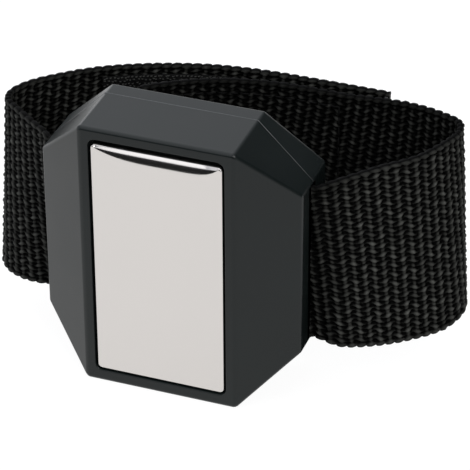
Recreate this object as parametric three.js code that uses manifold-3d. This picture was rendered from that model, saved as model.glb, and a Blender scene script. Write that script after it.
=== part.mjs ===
// Magnetic wristband: a faceted plastic housing with a steel face over block magnets, on a webbing strap
// that passes through the housing and closes on itself with hook and loop tape.
// Millimetres, +Z up, the steel face towards -Y, origin at the centre of the housing's flat lower end.
import * as THREE from 'three';
import { mergeVertices } from 'three/addons/utils/BufferGeometryUtils.js';
import Module from 'manifold-3d';

// Strap webbing and its hook and loop tape
const WEBBING_WIDTH = 38;
const WEBBING_THICKNESS = 1.8;
const TAPE_WIDTH = 34;
const HOOK_THICKNESS = 0.8;
const LOOP_THICKNESS = 0.8;
const SEWN_GAP = 0.2;
const LINK_GAP = 0.3;
const FLAP_DROOP = 6;
const DROOP_POWER = 1.5;

// Housing outline
const HOUSING_WIDTH = 58.9;
const HOUSING_HEIGHT = 64;
const SLOT_END_WALL = 0.75;
const BEVEL_DEPTH = 8.5;
const WING_REACH = 4.4;
const WALL = 2.2;

// Steel face and its recess
const FACE_BORDER_SIDE = 2.45;
const FACE_BORDER_END = 3.4;
const RECESS_GAP = 0.45;
const RECESS_TOP_GAP = 0.9;
const FACE_SHEET = 0.8;
const FACE_RETURN = 2;
const FACE_CORNER = 1.3;
const FACE_EDGE_ROLL = 0.7;
const FACE_ROLL_STEPS = 3;
const RECESS_FLOOR = 1.3;

// Magnet stack
const MAGNET_NAMES = ['lower', 'middle', 'upper'];
const MAGNET_SIDE_MARGIN = 2.75;
const MAGNET_END_MARGIN = 5.3;
const MAGNET_THICKNESS = 7;
const MAGNET_SPACING = 0.3;
const IRON_THICKNESS = 1.2;
const RETAINER_THICKNESS = 1.2;
const POCKET_RIB = 1.3;
const POCKET_GAP = 0.3;
const STACK_GAP = 0.1;

// Strap tunnel and rear cover
const TUNNEL_GAP = 0.3;
const SLOT_MOUTH = 3.9;
const RELIEF_HEIGHT = 34;
const PARTING_OFFSET = 0.7;
const COVER_BACK = 4.1;
const PARTING_GAP = 0.06;

// Cover screws
const BOSS_RADIUS = 2.6;
const SCREW_SHANK_RADIUS = 1.1;
const SCREW_HEAD_RADIUS = 2.3;
const SCREW_HEAD_HEIGHT = 1.7;
const SCREW_LENGTH = 8;
const SCREW_CLEARANCE = 0.3;
const SCREW_SEAT_WALL = 2.3;
const CROSS_LENGTH = 2.8;
const CROSS_SLOT = 0.6;
const CROSS_DEPTH = 0.9;
const ROUND_SIDES = 20;
const CORNER_STEPS = 4;

// Outline sizes that follow from the strap
const SIDE_HEIGHT = WEBBING_WIDTH + 2 * SLOT_END_WALL;
const CORNER_CUT = (HOUSING_HEIGHT - SIDE_HEIGHT) / 2;
const FRONT_WIDTH = HOUSING_WIDTH - 2 * CORNER_CUT;
const FACE_WIDTH = FRONT_WIDTH - 2 * FACE_BORDER_SIDE;
const FACE_HEIGHT = HOUSING_HEIGHT - 2 * FACE_BORDER_END;
const MAGNET_WIDTH = FACE_WIDTH - 2 * MAGNET_SIDE_MARGIN;
const STACK_HEIGHT = HOUSING_HEIGHT - 2 * MAGNET_END_MARGIN;
const MAGNET_PITCH = (STACK_HEIGHT + MAGNET_SPACING) / MAGNET_NAMES.length;

// Depths from the front of the housing, piece behind piece
const FACE_DEPTH = STACK_GAP;
const RECESS_DEPTH = FACE_DEPTH + FACE_RETURN + STACK_GAP;
const FLOOR_DEPTH = RECESS_DEPTH + RECESS_FLOOR;
const MAGNET_DEPTH = FLOOR_DEPTH + STACK_GAP;
const IRON_DEPTH = MAGNET_DEPTH + MAGNET_THICKNESS + STACK_GAP;
const RETAINER_DEPTH = IRON_DEPTH + IRON_THICKNESS + STACK_GAP;
const STRAP_DEPTH = RETAINER_DEPTH + RETAINER_THICKNESS + TUNNEL_GAP + WEBBING_THICKNESS / 2;
const TUNNEL_BACK_DEPTH = STRAP_DEPTH + WEBBING_THICKNESS / 2 + TUNNEL_GAP;
const PARTING_DEPTH = STRAP_DEPTH + PARTING_OFFSET;
const HOUSING_DEPTH = TUNNEL_BACK_DEPTH + COVER_BACK;

const MIDDLE_Z = HOUSING_HEIGHT / 2;
const FRONT_Y = -HOUSING_DEPTH / 2;
const STRAP_Y = FRONT_Y + STRAP_DEPTH;
const PARTING_Y = FRONT_Y + PARTING_DEPTH;
const BACK_Y = FRONT_Y + HOUSING_DEPTH;

// Screws sit between the strap tunnel and the cut corners
const SCREW_Z = SIDE_HEIGHT / 2 + SLOT_END_WALL + BOSS_RADIUS;
const CORNER_REACH = (HOUSING_WIDTH + SIDE_HEIGHT) / 2;
const SCREW_X = CORNER_REACH - SCREW_Z - (BOSS_RADIUS + WALL) * Math.SQRT2;

const wasm = await Module();
wasm.setup();

function solid(geometry) {
  const bare = geometry.clone();
  bare.deleteAttribute('normal');
  bare.deleteAttribute('uv');
  const merged = mergeVertices(bare);
  return new wasm.Manifold(new wasm.Mesh({
    numProp: 3,
    vertProperties: new Float32Array(merged.attributes.position.array),
    triVerts: new Uint32Array(merged.index.array),
  }));
}

function geometryOf(body) {
  const mesh = body.getMesh();
  const geometry = new THREE.BufferGeometry();
  geometry.setAttribute('position', new THREE.BufferAttribute(new Float32Array(mesh.vertProperties), 3));
  geometry.setIndex(new THREE.BufferAttribute(new Uint32Array(mesh.triVerts), 1));
  geometry.computeVertexNormals();
  return geometry;
}

function polygon(points) {
  return new THREE.Shape(points.map(([x, y]) => new THREE.Vector2(x, y)));
}

// A shape drawn in X and Z, run through the housing's depth
function depthPrism(shape, frontY, backY) {
  const run = { depth: backY - frontY, bevelEnabled: false, curveSegments: CORNER_STEPS };
  const geometry = new THREE.ExtrudeGeometry(shape, run);
  geometry.rotateX(Math.PI / 2);
  geometry.translate(0, backY, MIDDLE_Z);
  return geometry;
}

// A shape drawn in X and Y, run upwards over the housing's full height
function uprightPrism(shape, height) {
  const geometry = new THREE.ExtrudeGeometry(shape, { depth: height, bevelEnabled: false });
  geometry.translate(0, 0, MIDDLE_Z - height / 2);
  return geometry;
}

function block(width, height, frontY, backY, x = 0, z = 0) {
  const geometry = new THREE.BoxGeometry(width, backY - frontY, height);
  geometry.translate(x, (frontY + backY) / 2, MIDDLE_Z + z);
  return geometry;
}

function rod(radius, frontY, backY, x, z) {
  const geometry = new THREE.CylinderGeometry(radius, radius, backY - frontY, ROUND_SIDES);
  geometry.translate(x, (frontY + backY) / 2, MIDDLE_Z + z);
  return geometry;
}

function roundedRectangle(width, height, radius) {
  const x = width / 2;
  const z = height / 2;
  const shape = new THREE.Shape();
  shape.moveTo(radius - x, -z);
  shape.lineTo(x - radius, -z);
  shape.absarc(x - radius, radius - z, radius, -Math.PI / 2, 0);
  shape.lineTo(x, z - radius);
  shape.absarc(x - radius, z - radius, radius, 0, Math.PI / 2);
  shape.lineTo(radius - x, z);
  shape.absarc(radius - x, z - radius, radius, Math.PI / 2, Math.PI);
  shape.lineTo(-x, radius - z);
  shape.absarc(radius - x, radius - z, radius, Math.PI, Math.PI * 1.5);
  return shape;
}

const group = new THREE.Group();

function add(name, geometry, color, roughness, metalness) {
  const material = new THREE.MeshStandardMaterial({ color, roughness, metalness });
  const mesh = new THREE.Mesh(geometry, material);
  mesh.name = name;
  group.add(mesh);
}

const MOULDED = [0x2c2e2f, 0.5, 0];
const STEEL = [0xd6d2ce, 0.28, 1];
const FERRITE = [0x33312f, 0.8, 0.1];
const ZINC = [0xb8bcc0, 0.35, 1];
const WEBBING = [0x17181a, 0.9, 0];
const TAPE = [0x1d1e20, 1, 0];

// Housing: an octagon seen from the front, cut by the side bevels and the hollowed back seen from above
function octagon(inset) {
  const halfWidth = HOUSING_WIDTH / 2 - inset;
  const halfHeight = HOUSING_HEIGHT / 2 - inset;
  const reach = CORNER_REACH - inset * Math.SQRT2;
  const cutX = reach - halfHeight;
  const cutZ = reach - halfWidth;
  const rightHalf = [[cutX, -halfHeight], [halfWidth, -cutZ], [halfWidth, cutZ], [cutX, halfHeight]];
  const leftHalf = rightHalf.map(([x, z]) => [-x, -z]);
  return polygon([...rightHalf, ...leftHalf]);
}

function planOutline() {
  const side = HOUSING_WIDTH / 2;
  const front = FRONT_WIDTH / 2;
  const wingY = BACK_Y + WING_REACH;
  const right = [[front, FRONT_Y], [side, FRONT_Y + BEVEL_DEPTH], [side, wingY], [front, BACK_Y]];
  const left = right.map(([x, y]) => [-x, y]).reverse();
  return polygon([...right, ...left]);
}

function frontCavityPlan() {
  const side = HOUSING_WIDTH / 2 - WALL;
  const slope = BEVEL_DEPTH / CORNER_CUT;
  const floorY = FRONT_Y + FLOOR_DEPTH;
  const bevelWall = WALL * Math.hypot(1, slope);
  const floorX = FRONT_WIDTH / 2 + (FLOOR_DEPTH - bevelWall) / slope;
  const sideY = floorY + (side - floorX) * slope;
  const right = [[floorX, floorY], [side, sideY], [side, BACK_Y]];
  const left = right.map(([x, y]) => [-x, y]).reverse();
  return polygon([...right, ...left]);
}

const housing = solid(depthPrism(octagon(0), FRONT_Y, BACK_Y + WING_REACH))
  .intersect(solid(uprightPrism(planOutline(), HOUSING_HEIGHT)));
const slotHeight = WEBBING_WIDTH + SLOT_END_WALL;
const slotBackY = STRAP_Y + SLOT_MOUTH / 2;
const slot = solid(block(HOUSING_WIDTH * 2, slotHeight, STRAP_Y - SLOT_MOUTH / 2, slotBackY));

const screwPlaces = [[1, 1], [-1, 1], [-1, -1], [1, -1]].map(([x, z]) => [x * SCREW_X, z * SCREW_Z]);
const bossBackY = PARTING_Y - PARTING_GAP / 2;
const seatY = PARTING_Y + SCREW_SEAT_WALL;
const holeRadius = SCREW_SHANK_RADIUS + SCREW_CLEARANCE;
const pocketWidth = MAGNET_WIDTH + 2 * POCKET_GAP;
const pocketHeight = STACK_HEIGHT + 2 * POCKET_GAP;
const retainerWidth = pocketWidth + 2 * POCKET_RIB;
const retainerHeight = pocketHeight + 2 * POCKET_RIB;

function frontShell() {
  const floorY = FRONT_Y + FLOOR_DEPTH;
  const ribTopY = FRONT_Y + RETAINER_DEPTH - STACK_GAP;
  const cavity = solid(depthPrism(octagon(WALL), floorY, BACK_Y))
    .intersect(solid(uprightPrism(frontCavityPlan(), HOUSING_HEIGHT)));
  const recessWidth = FACE_WIDTH + 2 * RECESS_GAP;
  const recessHeight = FACE_HEIGHT + RECESS_GAP + RECESS_TOP_GAP;
  const recessRise = (RECESS_TOP_GAP - RECESS_GAP) / 2;
  const recess = roundedRectangle(recessWidth, recessHeight, FACE_CORNER + RECESS_GAP);
  const behindY = BACK_Y + 2 * WING_REACH;
  const behindParting = solid(block(HOUSING_WIDTH * 2, HOUSING_HEIGHT * 2, bossBackY, behindY));
  let shell = housing.subtract(cavity);
  for (const [x, z] of screwPlaces) {
    const boss = solid(rod(BOSS_RADIUS, floorY, bossBackY, x, z));
    shell = shell.add(boss.intersect(housing));
  }
  const ribs = solid(block(retainerWidth, retainerHeight, floorY - RECESS_FLOOR / 2, ribTopY))
    .subtract(solid(block(pocketWidth, pocketHeight, floorY, ribTopY + WALL)));
  shell = shell.add(ribs).subtract(behindParting).subtract(slot);
  const recessCut = solid(depthPrism(recess, FRONT_Y - WALL, FRONT_Y + RECESS_DEPTH));
  shell = shell.subtract(recessCut.translate([0, 0, recessRise]));
  for (const [x, z] of screwPlaces) {
    const pilotFrontY = seatY - SCREW_LENGTH - SCREW_CLEARANCE;
    shell = shell.subtract(solid(rod(holeRadius, pilotFrontY, BACK_Y, x, z)));
  }
  return geometryOf(shell);
}

// Rear cover: closes the strap tunnel, relieved behind the strap so that its walls stay even
function rearCover() {
  const innerY = PARTING_Y + PARTING_GAP / 2;
  const ahead = solid(block(HOUSING_WIDTH * 2, HOUSING_HEIGHT * 2, FRONT_Y - WALL, innerY));
  const tunnelBackY = FRONT_Y + TUNNEL_BACK_DEPTH;
  const tunnel = solid(block(HOUSING_WIDTH * 2, slotHeight, FRONT_Y, tunnelBackY));
  const side = HOUSING_WIDTH / 2;
  const inner = FRONT_WIDTH / 2;
  const wingSlope = WING_REACH / CORNER_CUT;
  const reliefInnerY = BACK_Y - WALL * Math.hypot(1, wingSlope);
  const reliefOuterY = reliefInnerY + (CORNER_CUT - WALL) * wingSlope;
  let cover = housing.subtract(ahead).subtract(tunnel);
  for (const hand of [1, -1]) {
    const reliefPlan = polygon([[hand * inner, FRONT_Y], [hand * (side - WALL), FRONT_Y],
      [hand * (side - WALL), reliefOuterY], [hand * inner, reliefInnerY]]);
    const mouth = block(2 * WALL, slotHeight, FRONT_Y, slotBackY, hand * side);
    cover = cover.subtract(solid(uprightPrism(reliefPlan, RELIEF_HEIGHT))).subtract(solid(mouth));
  }
  for (const [x, z] of screwPlaces) {
    const counterbore = rod(SCREW_HEAD_RADIUS + SCREW_CLEARANCE, seatY, BACK_Y + 2 * WING_REACH, x, z);
    cover = cover.subtract(solid(rod(holeRadius, FRONT_Y, BACK_Y, x, z))).subtract(solid(counterbore));
  }
  return geometryOf(cover);
}

// Steel face: a shallow pressed cap with a rolled edge, bonded by tape that fills it
function faceCap() {
  const frontY = FRONT_Y + FACE_DEPTH;
  const flatCorner = FACE_CORNER - FACE_EDGE_ROLL;
  const flatHeight = FACE_HEIGHT - 2 * FACE_EDGE_ROLL;
  const flat = roundedRectangle(FACE_WIDTH - 2 * FACE_EDGE_ROLL, flatHeight, flatCorner);
  const dome = new THREE.ExtrudeGeometry(flat, {
    depth: FACE_RETURN,
    bevelThickness: FACE_EDGE_ROLL,
    bevelSize: FACE_EDGE_ROLL,
    bevelSegments: FACE_ROLL_STEPS,
    curveSegments: CORNER_STEPS,
  });
  dome.rotateX(Math.PI / 2);
  dome.translate(0, frontY + FACE_RETURN + FACE_EDGE_ROLL, MIDDLE_Z);
  const behindY = frontY + FACE_RETURN;
  const behind = solid(block(HOUSING_WIDTH, HOUSING_HEIGHT, behindY, BACK_Y));
  const hollow = roundedRectangle(FACE_WIDTH - 2 * FACE_SHEET, FACE_HEIGHT - 2 * FACE_SHEET, flatCorner);
  const cap = solid(dome).subtract(behind);
  return geometryOf(cap.subtract(solid(depthPrism(hollow, frontY + FACE_SHEET, BACK_Y))));
}

function faceTape() {
  const inset = FACE_SHEET + POCKET_GAP;
  const corner = FACE_CORNER - FACE_EDGE_ROLL;
  const shape = roundedRectangle(FACE_WIDTH - 2 * inset, FACE_HEIGHT - 2 * inset, corner);
  const backY = FRONT_Y + RECESS_DEPTH - STACK_GAP;
  return depthPrism(shape, FRONT_Y + FACE_DEPTH + FACE_SHEET + STACK_GAP, backY);
}

// Self-tapping cover screw with a cross recess in its pan head
function coverScrew([x, z]) {
  const headBackY = seatY + STACK_GAP + SCREW_HEAD_HEIGHT;
  const head = solid(rod(SCREW_HEAD_RADIUS, seatY + STACK_GAP, headBackY, x, z));
  const shank = solid(rod(SCREW_SHANK_RADIUS, seatY - SCREW_LENGTH, seatY + SCREW_HEAD_HEIGHT / 2, x, z));
  const crossY = headBackY - CROSS_DEPTH;
  const level = solid(block(CROSS_LENGTH, CROSS_SLOT, crossY, BACK_Y + WING_REACH, x, z));
  const upright = solid(block(CROSS_SLOT, CROSS_LENGTH, crossY, BACK_Y + WING_REACH, x, z));
  return geometryOf(head.add(shank).subtract(level.add(upright)));
}

add('front_shell', frontShell(), ...MOULDED);
add('rear_cover', rearCover(), ...MOULDED);
add('face_plate', faceCap(), ...STEEL);
add('plate_tape', faceTape(), ...TAPE);
MAGNET_NAMES.forEach((name, row) => {
  const z = (row - (MAGNET_NAMES.length - 1) / 2) * MAGNET_PITCH;
  const height = MAGNET_PITCH - MAGNET_SPACING;
  const frontY = FRONT_Y + MAGNET_DEPTH;
  const magnet = block(MAGNET_WIDTH, height, frontY, frontY + MAGNET_THICKNESS, 0, z);
  add(`magnet_${name}`, magnet, ...FERRITE);
});
const ironY = FRONT_Y + IRON_DEPTH;
add('back_iron', block(MAGNET_WIDTH, STACK_HEIGHT, ironY, ironY + IRON_THICKNESS), ...ZINC);
const retainerY = FRONT_Y + RETAINER_DEPTH;
const retainer = block(retainerWidth, retainerHeight, retainerY, retainerY + RETAINER_THICKNESS);
add('magnet_retainer', retainer, ...MOULDED);
screwPlaces.forEach((place, i) => add(`cover_screw_${i + 1}`, coverScrew(place), ...ZINC));

// Strap routes seen from above, from each slot outwards: out and back for the upper edge, then for the
// lower edge. The arms lean, so the lower edge bows out ahead of the upper one; round the far side both
// edges run together.
const LEFT_ROUTE = [
  [0, 0, 0, 0], [1, 0, 1, 0], [3, 2, 3.5, -0.6], [7.4, 5.2, 8, -0.4], [12.6, 9.2, 12.9, 1.8],
  [15.9, 12, 16.2, 6.8], [16.7, 15.4, 17, 15.4], [15, 19.9, 15.5, 19.5], [9.1, 26.3, 9.3, 26],
  [1.1, 32.4, 1.1, 32.4], [-9.4, 37.5, -9.4, 37.5], [-21.4, 41.2, -21.4, 41.2],
  [-33.4, 42.7, -33.4, 42.7], [-47.4, 42.9, -47.4, 42.9], [-62.4, 42.8, -62.4, 42.8],
];
const RIGHT_ROUTE = [
  [0, 0, 0, 0], [1, 0, 1, 0], [2.6, 1.9, 3.4, -0.6], [5, 5, 7.2, -1.5], [10.9, 12.2, 14.1, 1.2],
  [17.2, 19, 20.6, 5.9], [21.1, 27.1, 26.2, 12.2], [22.5, 32.1, 28.2, 20.1], [21.4, 36, 26.1, 27.1],
  [17, 38.2, 21.1, 32.1], [9.1, 39.8, 12.1, 36.1],
];
// Places along the left route: bend, tail hinges, start of the hook tape, and where the flap lies under
// the tail
const LEFT_BEND = 6;
const TAIL_BEND = 10;
const TAIL_PEEL = 12;
const TAIL_TIP = LEFT_ROUTE.length - 1;
const HOOK_START = 8.9;
const FLAP_START = 13.4;
const FLAP_FREE = 12.6;
const FLAP_TIP = 9.6;
const FLAP_RULINGS = 9;
const STEPS_PER_STOP = 3;

const slotX = HOUSING_WIDTH / 2;
const layerPitch = WEBBING_THICKNESS + HOOK_THICKNESS + LOOP_THICKNESS + 3 * SEWN_GAP;

function curve(points) {
  const stops = points.map(([x, y]) => new THREE.Vector3(x, y, 0));
  return new THREE.CatmullRomCurve3(stops, false, 'centripetal');
}

// A route holds its upper and lower edge as seen from above, and which hand its outer face is on
function route(rulings, outerHand) {
  const stops = rulings.length - 1;
  const upper = curve(rulings.map(([x, y]) => [x, y]));
  const lower = curve(rulings.map((ruling) => [ruling[2], ruling[3]]));
  return { stops, upper, lower, outerHand };
}

function edgeAt(path, edge, stop) {
  const t = stop / path.stops;
  const point = path[edge].getPoint(t);
  const heading = path[edge].getTangent(t);
  const outward = new THREE.Vector3(heading.y, -heading.x, 0).multiplyScalar(path.outerHand);
  return { point, heading, outward };
}

const leftPath = route(LEFT_ROUTE.map(([out, back, lowOut, lowBack]) =>
  [-slotX - out, STRAP_Y + back, -slotX - lowOut, STRAP_Y + lowBack]), -1);
const armRulings = RIGHT_ROUTE.map(([out, back, lowOut, lowBack]) =>
  [slotX + out, STRAP_Y + back, slotX + lowOut, STRAP_Y + lowBack]);
const flapRulings = Array.from({ length: FLAP_RULINGS }, (_, i) => {
  const stop = THREE.MathUtils.lerp(FLAP_START, FLAP_TIP, i / (FLAP_RULINGS - 1));
  const free = Math.max(0, (FLAP_FREE - stop) / (FLAP_FREE - FLAP_TIP));
  const { point, outward } = edgeAt(leftPath, 'upper', stop);
  point.addScaledVector(outward, -layerPitch - FLAP_DROOP * free ** DROOP_POWER);
  return [point.x, point.y, point.x, point.y];
});
const rightPath = route([...armRulings, ...flapRulings], 1);
const FLAP_BEND = RIGHT_ROUTE.length;

// A closed strip of webbing or tape along a route, between two offsets from the webbing's middle
function strip(path, fromStop, toStop, innerOffset, outerOffset, width) {
  const steps = Math.ceil((toStop - fromStop) * STEPS_PER_STOP);
  const share = (1 + width / WEBBING_WIDTH) / 2;
  const positions = [];
  for (let i = 0; i <= steps; i += 1) {
    const stop = THREE.MathUtils.lerp(fromStop, toStop, i / steps);
    const upper = edgeAt(path, 'upper', stop);
    const lower = edgeAt(path, 'lower', stop);
    const trim = i === 0 ? LINK_GAP / 2 : (i === steps ? -LINK_GAP / 2 : 0);
    for (const [high, offset] of [[1, outerOffset], [1, innerOffset], [0, innerOffset], [0, outerOffset]]) {
      const mix = high ? 1 - share : share;
      const point = upper.point.clone().lerp(lower.point, mix);
      const outward = upper.outward.clone().lerp(lower.outward, mix).normalize();
      const heading = upper.heading.clone().lerp(lower.heading, mix).normalize();
      point.addScaledVector(outward, offset).addScaledVector(heading, trim);
      positions.push(point.x, point.y, MIDDLE_Z + (high ? width / 2 : -width / 2));
    }
  }
  const index = [];
  const quad = (a, b, c, d) => {
    const corners = path.outerHand > 0 ? [a, c, b, a, d, c] : [a, b, c, a, c, d];
    index.push(...corners);
  };
  for (let i = 0; i < steps; i += 1) {
    for (let side = 0; side < 4; side += 1) {
      const next = (side + 1) % 4;
      quad(4 * i + side, 4 * i + next, 4 * i + 4 + next, 4 * i + 4 + side);
    }
  }
  const last = 4 * steps;
  quad(3, 2, 1, 0);
  quad(last, last + 1, last + 2, last + 3);
  const geometry = new THREE.BufferGeometry();
  geometry.setAttribute('position', new THREE.Float32BufferAttribute(positions, 3));
  geometry.setIndex(index);
  geometry.computeVertexNormals();
  return geometry;
}

const half = WEBBING_THICKNESS / 2;
const webbing = (path, from, to) => strip(path, from, to, -half, half, WEBBING_WIDTH);
const hookTape = (from, to) =>
  strip(leftPath, from, to, -half - SEWN_GAP - HOOK_THICKNESS, -half - SEWN_GAP, TAPE_WIDTH);

const coreLength = HOUSING_WIDTH - LINK_GAP;
add('strap_core', block(coreLength, WEBBING_WIDTH, STRAP_Y - half, STRAP_Y + half), ...WEBBING);
add('strap_left_arm', webbing(leftPath, 0, LEFT_BEND), ...WEBBING);
add('strap_tail_root', webbing(leftPath, LEFT_BEND, TAIL_BEND), ...WEBBING);
add('strap_tail_mid', webbing(leftPath, TAIL_BEND, TAIL_PEEL), ...WEBBING);
add('strap_tail_end', webbing(leftPath, TAIL_PEEL, TAIL_TIP), ...WEBBING);
add('hook_patch_root', hookTape(HOOK_START, TAIL_BEND), ...TAPE);
add('hook_patch_mid', hookTape(TAIL_BEND, TAIL_PEEL), ...TAPE);
add('hook_patch_end', hookTape(TAIL_PEEL, TAIL_TIP), ...TAPE);
add('strap_right_arm', webbing(rightPath, 0, FLAP_BEND), ...WEBBING);
add('strap_inner_flap', webbing(rightPath, FLAP_BEND, rightPath.stops), ...WEBBING);
const loopInner = half + SEWN_GAP;
const loopOuter = loopInner + LOOP_THICKNESS;
add('loop_patch', strip(rightPath, FLAP_BEND, rightPath.stops, loopInner, loopOuter, TAPE_WIDTH), ...TAPE);

export default group;
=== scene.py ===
# Magnetic wristband: a faceted moulded housing with a polished steel face over block magnets, on a black
# woven strap that runs through the housing and closes on itself with hook and loop tape.
# Metres, in the frame of the solids: +Z up, the steel face towards -Y.
import math

import bmesh
import bpy
import numpy as np
from mathutils import Matrix, Vector


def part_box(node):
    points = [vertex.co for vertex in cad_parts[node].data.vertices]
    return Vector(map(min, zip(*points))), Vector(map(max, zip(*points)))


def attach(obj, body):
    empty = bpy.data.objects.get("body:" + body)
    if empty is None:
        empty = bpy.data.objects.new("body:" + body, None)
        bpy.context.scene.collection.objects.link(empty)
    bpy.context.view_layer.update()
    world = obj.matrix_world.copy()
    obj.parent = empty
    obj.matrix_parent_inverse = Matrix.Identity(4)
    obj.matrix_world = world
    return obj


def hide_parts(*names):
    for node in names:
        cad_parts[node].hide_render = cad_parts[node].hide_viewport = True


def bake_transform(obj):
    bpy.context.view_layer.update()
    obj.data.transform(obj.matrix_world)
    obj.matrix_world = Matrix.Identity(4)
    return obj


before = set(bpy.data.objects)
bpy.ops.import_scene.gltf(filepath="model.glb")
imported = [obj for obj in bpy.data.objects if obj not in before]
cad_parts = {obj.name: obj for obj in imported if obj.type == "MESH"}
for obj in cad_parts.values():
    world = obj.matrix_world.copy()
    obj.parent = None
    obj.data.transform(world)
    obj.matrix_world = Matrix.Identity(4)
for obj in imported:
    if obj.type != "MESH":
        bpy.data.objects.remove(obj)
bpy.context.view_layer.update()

# Camera: the photograph's own viewpoint. A long lens looks down on the band from in front and a little to
# the right, so the housing's top, its right bevel and the inside of the far strap all show.
VIEW_AZIMUTH = math.radians(20.37)
VIEW_ELEVATION = math.radians(32.70)
VIEW_ROLL = math.radians(-0.30)
VIEW_DISTANCE = 0.58673
VIEW_TARGET = Vector((0.01751, -0.00985, 0.04484))
FOCAL_PIXELS = 2828.8
FRAME_PIXELS = 470
SENSOR_MM = 36

toward_camera = Vector((
    math.sin(VIEW_AZIMUTH) * math.cos(VIEW_ELEVATION),
    -math.cos(VIEW_AZIMUTH) * math.cos(VIEW_ELEVATION),
    math.sin(VIEW_ELEVATION),
))
level = Vector((math.cos(VIEW_AZIMUTH), math.sin(VIEW_AZIMUTH), 0))
upright = toward_camera.cross(level)
frame_right = level * math.cos(VIEW_ROLL) + upright * math.sin(VIEW_ROLL)
frame_up = upright * math.cos(VIEW_ROLL) - level * math.sin(VIEW_ROLL)
lens = bpy.data.cameras.new("photo_view")
lens.sensor_width = SENSOR_MM
lens.lens = FOCAL_PIXELS / FRAME_PIXELS * SENSOR_MM
camera = bpy.data.objects.new("photo_view", lens)
turn = Matrix((frame_right, frame_up, toward_camera)).transposed().to_4x4()
camera.matrix_world = Matrix.Translation(VIEW_TARGET + toward_camera * VIEW_DISTANCE) @ turn
bpy.context.scene.collection.objects.link(camera)
bpy.context.scene.camera = camera

# Front shell: a dark grey moulding, an upright octagon with bevelled sides and a shallow recess in front.
# Its outer edges have small moulded radii, and a fine softened edge meets the rear cover at the seam.
CORNER_RADIUS = 0.0011
SLOT_CORNER_RADIUS = 0.0014
EDGE_RADIUS = 0.001
FRONT_SIDE_RADIUS = 0.0018
REAR_RADIUS = 0.0009
RIM_RADIUS = 0.0002
SEAM_RADIUS = 0.0001
SEAM_REACH = 0.00035
WIDEST_EDGE = 0.0013
ROUNDING_STEPS = 4
FRONT_HALF_WIDTH = 0.0172
SIDE_HALF_HEIGHT = 0.01975
FLAT_ANGLE = math.radians(0.5)
HARD_ANGLE = math.radians(20)
SAME_PLACE = 0.00003
SAME_POINT = 0.000001

shell_low, shell_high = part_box("front_shell")
cover_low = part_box("rear_cover")[0]
housing_middle_z = (shell_low.z + shell_high.z) / 2
parting_y = (shell_high.y + cover_low.y) / 2


def new_piece(name, mesh, material):
    """Links a finished mesh as a piece with its own material, smooth shaded."""
    mesh.polygons.foreach_set("use_smooth", [True] * len(mesh.polygons))
    mesh.materials.clear()
    mesh.materials.append(material)
    piece = bpy.data.objects.new(name, mesh)
    bpy.context.scene.collection.objects.link(piece)
    return piece


def on_outer_corner(vertex):
    """True on the lines where the octagon's flats meet."""
    place = np.array((abs(vertex.co.x), abs(vertex.co.z - housing_middle_z)))
    corners = ((FRONT_HALF_WIDTH, shell_high.z / 2), (shell_high.x, SIDE_HALF_HEIGHT))
    return any(np.abs(place - corner).max() < SAME_PLACE for corner in corners)


def on_seam(edge, seam_y):
    """True for an outer edge that lies in the parting plane."""
    in_plane = all(abs(v.co.y - seam_y) < SAME_PLACE for v in edge.verts)
    if not in_plane:
        return False
    middle = (edge.verts[0].co + edge.verts[1].co) / 2
    reach = abs(middle.x) + abs(middle.z - housing_middle_z)
    at_side = abs(middle.x) > shell_high.x - SEAM_REACH
    at_end = abs(middle.z - housing_middle_z) > shell_high.z / 2 - SEAM_REACH
    at_corner = reach > shell_high.x + SIDE_HALF_HEIGHT - SEAM_REACH
    return at_side or at_end or at_corner


def edge_radius(edge, seam_y):
    """How round a moulded edge is: at the seam, the outline's corners, the back, the front or the recess."""
    if on_seam(edge, seam_y):
        return SEAM_RADIUS
    if all(on_outer_corner(v) for v in edge.verts):
        start, end = (v.co for v in edge.verts)
        if abs(end.x - start.x) + abs(end.z - start.z) < SAME_PLACE:
            return SLOT_CORNER_RADIUS if abs(start.x) > shell_high.x - SAME_PLACE else CORNER_RADIUS
        if start.y > parting_y:
            return REAR_RADIUS
        upright_edge = abs(end.x - start.x) + abs(end.y - start.y) < SAME_PLACE
        return FRONT_SIDE_RADIUS if upright_edge and start.y < shell_low.y + SAME_PLACE else EDGE_RADIUS
    at_front = all(abs(v.co.y - shell_low.y) < SAME_PLACE for v in edge.verts)
    return RIM_RADIUS if at_front else 0


def moulding(name, node, seam_y, material):
    """A shell's solid as a moulded piece: clean flats, and each outer edge with its own small radius."""
    bm = bmesh.new()
    bm.from_mesh(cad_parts[node].data)
    bmesh.ops.remove_doubles(bm, verts=bm.verts, dist=SAME_POINT)
    bmesh.ops.dissolve_limit(bm, angle_limit=FLAT_ANGLE, verts=bm.verts, edges=bm.edges)
    weight = bm.edges.layers.float.new("bevel_weight_edge")
    mesh = bpy.data.meshes.new(name)
    sharp = []
    for edge in bm.edges:
        angle = edge.calc_face_angle(0)
        radius = edge_radius(edge, seam_y) if angle > HARD_ANGLE and edge.is_convex else 0
        edge[weight] = min(1, radius * math.tan(angle / 2) / WIDEST_EDGE)
        sharp.append(angle > HARD_ANGLE and radius == 0)
    bm.to_mesh(mesh)
    bm.free()
    piece = new_piece(name, mesh, material)
    mesh.edges.foreach_set("use_edge_sharp", sharp)
    rounding = piece.modifiers.new("moulded_edges", "BEVEL")
    rounding.limit_method = "WEIGHT"
    rounding.width = WIDEST_EDGE
    rounding.segments = ROUNDING_STEPS
    rounding.use_clamp_overlap = False
    flats = piece.modifiers.new("true_flats", "WEIGHTED_NORMAL")
    flats.weight = 100
    flats.keep_sharp = True
    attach(piece, "housing")
    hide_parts(node)
    return piece


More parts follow.
